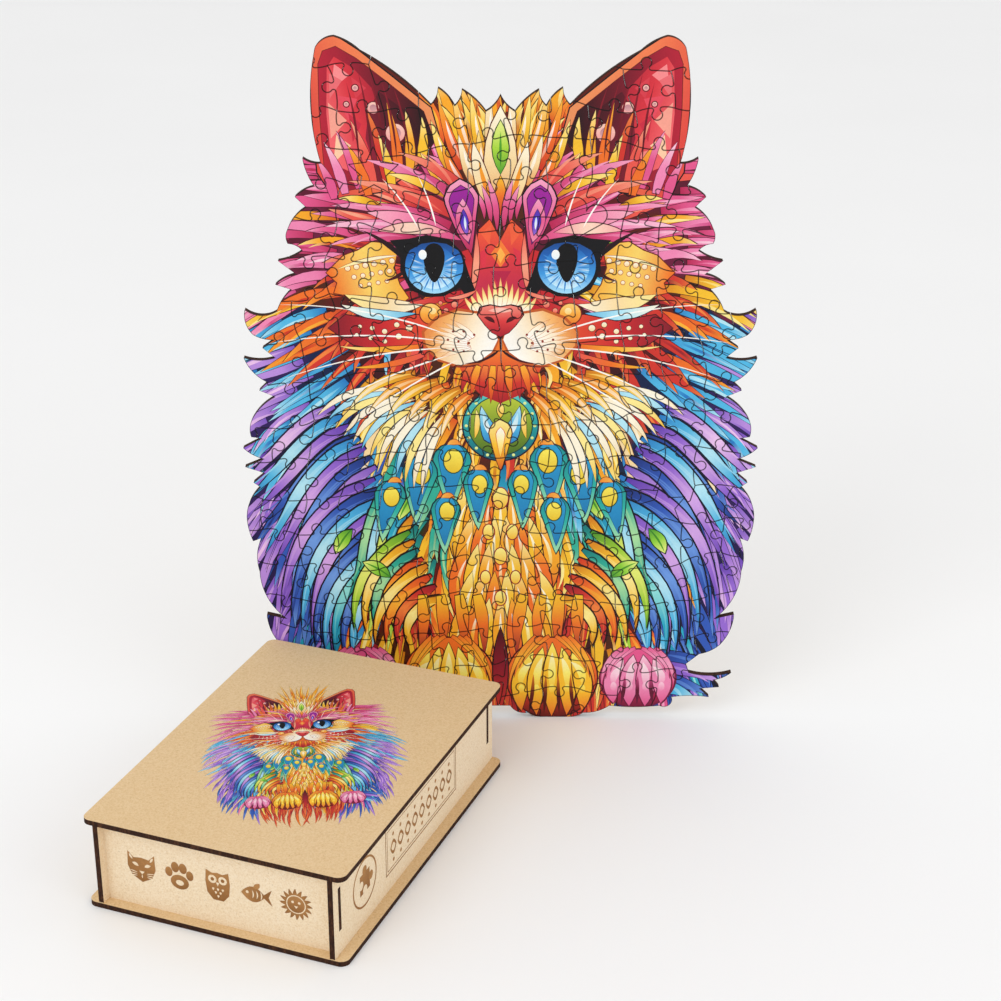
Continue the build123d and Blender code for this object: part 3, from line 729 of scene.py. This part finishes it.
def lion_emblem(art):
    for step in range(16):
        angle = 2 * math.pi * step / 16
        across, up = math.cos(angle), math.sin(angle)
        art.brush(4 * across, 4 * up, 9.6 * across, 9.6 * up, 3.6, BURN, 0.8)
    art.disc(0, 0, 5.6, None, points=28)
    art.disc(0, 0, 5.0, BURN, points=28)
    for _ in art.halves():
        art.disc(1.9, 1.2, 0.8, None, points=10)
    art.patch([(-1.2, -1), (1.2, -1), (0, -2.6)], None)


def front_engraving():
    """Five animals in a row on the front wall."""
    art = Drawing()
    for step, emblem in enumerate((cat_emblem, paw_emblem, owl_emblem, fish_emblem, lion_emblem)):
        art.middle = (-45.0 + 22.6 * step, WALL_MIDDLE)
        emblem(art)
    return art


def side_engraving():
    """A piece of a puzzle in a ring, and a bordered ornament, on the right wall."""
    art = Drawing()
    art.middle = (-70.0, WALL_MIDDLE)
    art.disc(0, 0, 14.5, BURN, points=40)
    art.disc(0, 0, 13.3, None, points=40)
    art.patch([(-6, -6), (6, -6), (6, 6), (-6, 6)], BURN, (0, 6), (0, -6))
    for x, z, paint in ((7.4, 0, PALE_BURN), (0, 7.4, PALE_BURN), (-4.6, 0, None), (0, -4.6, None)):
        art.disc(x, z, 2.6, paint, points=18)
    art.middle = (0.0, 0.0)
    for grow, paint in ((0.0, BURN), (0.7, None), (2.0, BURN), (2.5, None)):
        left, low, right, high = -44.0 + grow, 13.0 + grow, 52.0 - grow, 42.0 - grow
        art.patch([(left, low), (right, low), (right, high), (left, high)], paint)
    for step in range(9):
        art.middle = (-34.0 + 9.5 * step, WALL_MIDDLE)
        art.brush(-4, 0, 4, 0, 9, BURN, 0, "leaf", steps=9)
        art.brush(-2.6, 0, 2.6, 0, 5, None, 0, "leaf", steps=8)
        for z in (-8, 8):
            art.disc(0, z, 1.2, PALE_BURN, points=10)
    return art


# ---- From shapes to meshes -----------------------------------------------------------------------
LOOP = -1  # stands for a piece's outline where shapes go by their number


def front_loops(node):
    """The outlines of a node's printed faces, in millimetres, each with the board on its left."""
    mesh = frame["nodes"][node].data
    ends = Counter()
    places = {}
    for face in mesh.polygons:
        if face.normal.y > -0.99:
            continue
        keys = []
        for index in face.vertices:
            co = mesh.vertices[index].co
            key = (round(co.x / MM * KEYS_PER_MM), round(co.z / MM * KEYS_PER_MM))
            places[key] = (co.x / MM, co.z / MM)
            keys.append(key)
        ends.update((a, b) for a, b in zip(keys, keys[1:] + keys[:1]) if a != b)
    following = {}
    for a, b in sorted(ends):
        spare = ends[a, b] - ends.get((b, a), 0)
        if spare > 0:
            following.setdefault(a, []).extend([b] * spare)
    loops = []
    for start in sorted(following):
        while following[start]:
            loop = [start]
            key = following[start].pop()
            while key != start:
                loop.append(key)
                key = following[key].pop()
            if len(loop) > 4:
                loops.append(np.array([places[key] for key in loop]))
    return loops


def edge_distances(points, loops):
    """How far points lie from the nearest loop's edge, found against spots set along the edges."""
    spots = []
    for loop in loops:
        for start, end in zip(loop, np.roll(loop, -1, axis=0)):
            count = max(1, math.ceil(math.hypot(*(end - start)) / SPOT_GAP))
            spots.append(start + (end - start) * np.arange(count)[:, None] / count)
    spots = np.concatenate(spots)
    tree = KDTree(len(spots))
    for index, (x, z) in enumerate(spots.tolist()):
        tree.insert((x, z, 0.0), index)
    tree.balance()
    return np.array([tree.find((x, z, 0.0))[2] for x, z in points.tolist()])


def cut_plan(shapes, loops):
    """What is triangulated: points, edges, faces, and which shape or loop each face stands for.
    Every loop also gives a line inside it for the rim and one outside it for the lip, a strip of painted
    shade over the gap between pieces."""
    verts, edges, faces, kinds = [], [], [], []

    def feed(outline, kind):
        faces.append(list(range(len(verts), len(verts) + len(outline))))
        verts.extend(Vector(point) for point in outline.tolist())
        kinds.append(kind)

    low, high = -np.inf, np.inf
    if loops:
        low, high = np.concatenate(loops).min(0), np.concatenate(loops).max(0)
    for loop in loops:
        feed(loop if area(loop) > 0 else loop[::-1], LOOP)
    for number, (outline, *_) in enumerate(shapes):
        if np.all(outline.max(0) >= low) and np.all(outline.min(0) <= high):
            feed(outline, number)
    for loop in loops:
        for amount in (RIM_WIDTH, -GAP_SHADE_LIP_WIDTH):
            first, last = len(verts), len(verts) + len(loop) - 1
            verts.extend(Vector(point) for point in inset(loop, amount).tolist())
            edges.extend([(k, k + 1) for k in range(first, last)] + [(last, first)])
    return verts, edges, faces, kinds


def triangulated(shapes, loops=(), base=None):
    """The visible parts of a drawing's shapes as triangles with their corners' colours. With loops,
    it is clipped to them and gets a dark rim along them (laser char and painted shade of the gap between
    pieces) and a lip of painted gap shade over the cut, and base fills what no shape covers."""
    verts, edges, faces, kinds = cut_plan(shapes, loops)
    points, _, triangles, _, _, origins = delaunay_2d_cdt(verts, edges, faces, 0, 1e-4, True)
    spots = np.array([(p.x, p.y) for p in points])
    corners = np.array(triangles)
    found = [[kinds[k] for k in sources] for sources in origins]
    owners = np.array([max(row, default=LOOP) for row in found])
    kept = np.array([base is not None if owner == LOOP else shapes[owner][1] is not None
                     for owner in owners])
    dark_edge = np.zeros(len(corners), bool)
    if loops:
        distances = edge_distances(spots[corners].mean(axis=1), loops)
        # Besides what lies inside a loop, the lip just outside it is kept: a strip of painted shade over
        # the gap between pieces. The rim inside is laser char with painted gap shade.
        kept &= np.array([row.count(LOOP) % 2 == 1 for row in found]) | (distances <= GAP_SHADE_LIP_WIDTH)
        dark_edge = distances < RIM_WIDTH
    corners, owners, dark_edge = corners[kept], owners[kept], dark_edge[kept]
    colours = np.zeros((len(corners), 3, 3))
    for owner in np.unique(owners):
        rows = owners == owner
        places = spots[corners[rows]].reshape(-1, 2)
        if owner == LOOP:
            inks = np.array([base(*place) for place in places])
        else:
            inks = painted(shapes[owner], places)
        colours[rows] = inks.reshape(-1, 3, 3)
    # Rim and lip darkened: laser char and painted shade of the gap between pieces.
    colours[dark_edge] *= CHAR_AND_GAP_SHADE_FACTOR
    return spots, corners, colours


def flat_piece(name, spots, corners, colours, place, material, body, slot):
    """A mesh of painted triangles, laid on the object by a function of its two plan sizes."""
    used, again = np.unique(corners, return_inverse=True)
    mesh = bpy.data.meshes.new(name)
    mesh.from_pydata([place(*spots[k]) for k in used], [], again.reshape(-1, 3).tolist())
    ink = mesh.color_attributes.new("ink", "FLOAT_COLOR", "CORNER")
    flat = np.concatenate((colours.reshape(-1, 3), np.ones((colours.size // 3, 1))), axis=1)
    ink.data.foreach_set("color", flat.astype(np.float32).ravel())
    mesh.materials.append(material)
    mesh.update()
    piece = bpy.data.objects.new(name, mesh)
    bpy.context.scene.collection.objects.link(piece)
    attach(piece, body)


# ---- Materials -----------------------------------------------------------------------------------
class Nodes:
    """Short calls for building a material's nodes."""

    def __init__(self, name):
        self.material = bpy.data.materials.new(name)
        self.material.use_nodes = True
        self.tree = self.material.node_tree
        self.shader = self.tree.nodes["Principled BSDF"]

    def new(self, kind, **settings):
        node = self.tree.nodes.new(kind)
        for key, value in settings.items():
            setattr(node, key, value)
        return node

    def link(self, source, target):
        self.tree.links.new(source, target)

    def place(self, scale):
        """The object's own coordinates, stretched."""
        where = self.new("ShaderNodeTexCoord")
        mapping = self.new("ShaderNodeMapping")
        mapping.inputs["Scale"].default_value = scale
        self.link(where.outputs["Object"], mapping.inputs["Vector"])
        return mapping.outputs["Vector"]

    def noise(self, scale, detail=3.0, roughness=0.55):
        texture = self.new("ShaderNodeTexNoise")
        texture.inputs["Scale"].default_value = 1.0
        texture.inputs["Detail"].default_value = detail
        texture.inputs["Roughness"].default_value = roughness
        self.link(self.place(scale), texture.inputs["Vector"])
        return texture.outputs["Fac"]

    def ramp(self, source, stops):
        ramp = self.new("ShaderNodeValToRGB")
        elements = ramp.color_ramp.elements
        while len(elements) < len(stops):
            elements.new(0.5)
        for element, (position, colour) in zip(elements, stops):
            element.position = position
            element.color = (*colour, 1.0)
        self.link(source, ramp.inputs["Fac"])
        return ramp.outputs["Color"]

    def mix(self, share, first, second, blend="MIX"):
        mix = self.new("ShaderNodeMix", data_type="RGBA", blend_type=blend)
        for value, socket in ((share, mix.inputs[0]), (first, mix.inputs[6]), (second, mix.inputs[7])):
            if isinstance(value, bpy.types.NodeSocket):
                self.link(value, socket)
            elif isinstance(value, float):
                socket.default_value = value
            else:
                socket.default_value = (*value, 1.0)
        return mix.outputs[2]

    def math(self, operation, first, second=0.0, clamp=False):
        node = self.new("ShaderNodeMath", operation=operation, use_clamp=clamp)
        for value, socket in ((first, node.inputs[0]), (second, node.inputs[1])):
            if isinstance(value, bpy.types.NodeSocket):
                self.link(value, socket)
            else:
                socket.default_value = value
        return node.outputs[0]

    def bump(self, height, strength, distance):
        bump = self.new("ShaderNodeBump")
        bump.inputs["Strength"].default_value = strength
        bump.inputs["Distance"].default_value = distance
        self.link(height, bump.inputs["Height"])
        self.link(bump.outputs["Normal"], self.shader.inputs["Normal"])


def board_material(name, face_axis, pale, warm, grain, grain_scale):
    """Raw board, burnt by the laser wherever a surface doesn't face along face_axis."""
    nodes = Nodes(name)
    fibre = nodes.noise(grain_scale, 5.0, 0.62)
    cloud = nodes.noise((14.0, 14.0, 14.0), 2.0)
    face = nodes.ramp(fibre, ((0.28, grain), (0.46, warm), (0.62, pale)))
    face = nodes.mix(0.28, face, nodes.ramp(cloud, ((0.3, warm), (0.7, pale))))
    specks = nodes.noise((1500.0, 1500.0, 1500.0), 2.0, 0.7)
    dark_speck = nodes.ramp(specks, ((0.30, grain * 0.62), (0.38, np.ones(3)), (1.0, np.ones(3))))
    face = nodes.mix(0.55, face, dark_speck, "MULTIPLY")
    streak_scale = (900.0, 900.0, 260.0) if face_axis[2] < 0.5 else (700.0, 700.0, 120.0)
    streaks = nodes.noise(streak_scale, 4.0, 0.7)
    dark_edge = nodes.ramp(streaks, ((0.25, tone("1b0d07")), (0.5, tone("331a0e")), (0.78, tone("5e3a20"))))
    where = nodes.new("ShaderNodeTexCoord")
    facing = nodes.new("ShaderNodeVectorMath", operation="DOT_PRODUCT")
    nodes.link(where.outputs["Normal"], facing.inputs[0])
    facing.inputs[1].default_value = face_axis
    edge = nodes.math("LESS_THAN", nodes.math("ABSOLUTE", facing.outputs["Value"]), 0.7)
    nodes.link(nodes.mix(edge, face, dark_edge), nodes.shader.inputs["Base Color"])
    rough = nodes.math("MULTIPLY_ADD", fibre, 0.2)
    nodes.link(nodes.math("ADD", rough, 0.55, True), nodes.shader.inputs["Roughness"])
    nodes.shader.inputs["Specular IOR Level"].default_value = 0.32
    nodes.bump(nodes.math("ADD", fibre, nodes.math("MULTIPLY", streaks, edge)), 0.25, 0.0002)
    return nodes.material


def ink_material(name, roughness, coat, mottle):
    """Printed or engraved colour, with the board's texture under it."""
    nodes = Nodes(name)
    ink = nodes.new("ShaderNodeVertexColor", layer_name="ink")
    fine = nodes.noise((1100.0, 1100.0, 1100.0), 3.0, 0.65)
    soft = nodes.noise((60.0, 60.0, 60.0), 3.0)
    shade = nodes.ramp(fine, ((0.25, np.ones(3) * (1 - mottle)), (0.7, np.ones(3))))
    colour = nodes.mix(1.0, ink.outputs["Color"], shade, "MULTIPLY")
    wash = nodes.ramp(soft, ((0.3, np.ones(3) * (1 - mottle)), (0.65, np.ones(3))))
    nodes.link(nodes.mix(0.8, colour, wash, "MULTIPLY"), nodes.shader.inputs["Base Color"])
    rough = nodes.math("ADD", nodes.math("MULTIPLY", fine, 0.15), roughness)
    nodes.link(rough, nodes.shader.inputs["Roughness"])
    nodes.shader.inputs["Specular IOR Level"].default_value = 0.22
    nodes.shader.inputs["Coat Weight"].default_value = coat
    nodes.shader.inputs["Coat Roughness"].default_value = 0.3
    nodes.bump(fine, 0.12, 0.0001)
    return nodes.material


# ---- The scene -----------------------------------------------------------------------------------
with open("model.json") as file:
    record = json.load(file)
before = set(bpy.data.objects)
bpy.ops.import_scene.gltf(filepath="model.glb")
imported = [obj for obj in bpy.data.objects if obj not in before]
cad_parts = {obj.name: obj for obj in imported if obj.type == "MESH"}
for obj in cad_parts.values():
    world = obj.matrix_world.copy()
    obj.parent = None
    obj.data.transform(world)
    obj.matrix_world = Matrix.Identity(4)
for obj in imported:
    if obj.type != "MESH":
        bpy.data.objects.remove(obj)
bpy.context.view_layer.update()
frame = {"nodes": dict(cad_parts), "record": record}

base_low, base_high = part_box("base_panel")
box_middle = (base_low + base_high) / 2
puzzle_boxes = [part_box(name) for name in frame["nodes"] if name not in BOX_NODES]
puzzle_front = min(low.y for low, _ in puzzle_boxes)
puzzle_middle = (min(low.x for low, _ in puzzle_boxes) + max(high.x for _, high in puzzle_boxes)) / 2


def turned(u, v, angle):
    return u * math.cos(angle) - v * math.sin(angle), u * math.sin(angle) + v * math.cos(angle)


def on_box(u, v, z):
    """A point of the box's own plan, in millimetres, as a place in the scene."""
    x, y = turned(u, v, BOX_TURN)
    return box_middle.x + x * MM, box_middle.y + y * MM, z * MM


def on_puzzle(x, z):
    return x * MM, puzzle_front - PRINT_LIFT * MM, z * MM


def on_lid(x, z):
    place = turned(LID_PRINT_SCALE * x, LID_PRINT_SCALE * (z - CAT_MIDDLE), LID_PRINT_TURN)
    return on_box(*place, BOX_TOP + PRINT_LIFT)


def on_front_wall(u, z):
    return on_box(u, -(BOX_HALF_DEPTH - WALL_INSET + PRINT_LIFT), z)


def on_right_wall(v, z):
    return on_box(BOX_HALF_WIDTH - WALL_INSET + PRINT_LIFT, v, z)


def cover(node, material):
    node.data.materials.clear()
    node.data.materials.append(material)


def dress_box():
    """Board materials for the box's panels and walls."""
    panel_tones = (tone("e2c69c"), tone("dabb8d"), tone("cba878"))
    wall_tones = (tone("f0dfc4"), tone("e8d2b0"), tone("d9bd92"))
    for names, axis, tones in (
            (("lid_panel", "base_panel", "lid_locating_board"), (0.0, 0.0, 1.0), panel_tones),
            (("front_wall", "back_wall"), (*turned(0.0, 1.0, BOX_TURN), 0.0), wall_tones),
            (("left_wall", "right_wall"), (*turned(1.0, 0.0, BOX_TURN), 0.0), wall_tones)):
        material = board_material("hardboard_" + names[0], axis, *tones, (900.0, 900.0, 900.0))
        for name in names:
            cover(frame["nodes"][name], material)


def dress_puzzle(drawing):
    """Bare ply for the pieces' edges and backs, and the print on their fronts."""
    ply = board_material("puzzle_ply", (0.0, 1.0, 0.0), tone("e3c79a"), tone("d4b384"), tone("b98f5c"),
                         (260.0, 260.0, 26.0))
    ink = ink_material("printed_ink", 0.42, 0.06, 0.08)
    middle = puzzle_middle / MM
    step = np.array((middle, 0.0))
    shapes = [(outline + step, paint, start + step, way)
              for outline, paint, start, way in drawing.shapes]
    for body, names in frame["record"]["behaviour"]["bodies"].items():
        for name in names:
            if name in BOX_NODES:
                continue
            cover(frame["nodes"][name], ply)
            print_mesh = triangulated(shapes, front_loops(name), lambda x, z: under_fur(x - middle, z))
            flat_piece(name + "_print", *print_mesh, on_puzzle, ink, body, "puzzle_board")


def print_box(drawing):
    """The cat on the lid, and the engraving on the front and right walls."""
    ink = ink_material("lid_ink", 0.5, 0.0, 0.14)
    burn = ink_material("engraving", 0.7, 0.0, 0.25)
    for name, picture, place, material, body in (
            ("lid_print", drawing, on_lid, ink, "lid"),
            ("front_emblems", front_engraving(), on_front_wall, burn, "box"),
            ("side_emblems", side_engraving(), on_right_wall, burn, "box")):
        flat_piece(name, *triangulated(picture.shapes), place, material, body, "box_board")


def lay_floor():
    """A plain pale floor."""
    mesh = bpy.data.meshes.new("floor")
    mesh.from_pydata([(x * FLOOR_HALF, y * FLOOR_HALF, 0) for x, y in ((-1, -1), (1, -1), (1, 1), (-1, 1))],
                     [], [(0, 1, 2, 3)])
    floor = bpy.data.objects.new("floor", mesh)
    bpy.context.scene.collection.objects.link(floor)
    nodes = Nodes("floor_paint")
    soft = nodes.noise((3.0, 3.0, 3.0), 2.0)
    colour = nodes.ramp(soft, ((0.3, np.ones(3) * FLOOR_TONES[0]), (0.7, np.ones(3) * FLOOR_TONES[1])))
    nodes.link(colour, nodes.shader.inputs["Base Color"])
    nodes.shader.inputs["Roughness"].default_value = 0.8
    mesh.materials.append(nodes.material)


def light_room():
    """A pale room, a soft key light and a fill."""
    world = bpy.data.worlds.new("room")
    world.use_nodes = True
    background = world.node_tree.nodes["Background"]
    background.inputs["Color"].default_value = (1.0, 1.0, 1.0, 1.0)
    background.inputs["Strength"].default_value = ROOM_BRIGHTNESS
    bpy.context.scene.world = world
    bpy.context.scene.view_settings.view_transform = "Standard"
    for name, place, size, power in LIGHTS:
        lamp = bpy.data.lights.new(name, "AREA")
        lamp.size = size
        lamp.energy = power
        light = bpy.data.objects.new(name, lamp)
        light.location = place
        way = Vector(LIGHT_TARGET) - Vector(place)
        light.rotation_euler = way.to_track_quat("-Z", "Y").to_euler()
        bpy.context.scene.collection.objects.link(light)


def set_camera():
    lens = bpy.data.cameras.new("camera")
    lens.lens = CAMERA_LENS
    lens.sensor_width = 36.0
    lens.clip_start = 0.01
    viewer = bpy.data.objects.new("camera", lens)
    viewer.location = (puzzle_middle, CAMERA_BACK, CAMERA_HEIGHT)
    viewer.rotation_euler = (math.pi / 2 - CAMERA_PITCH, 0.0, 0.0)
    bpy.context.scene.collection.objects.link(viewer)
    bpy.context.scene.camera = viewer


artwork = cat_artwork()
dress_box()
dress_puzzle(artwork)
print_box(artwork)
lay_floor()
light_room()
set_camera()
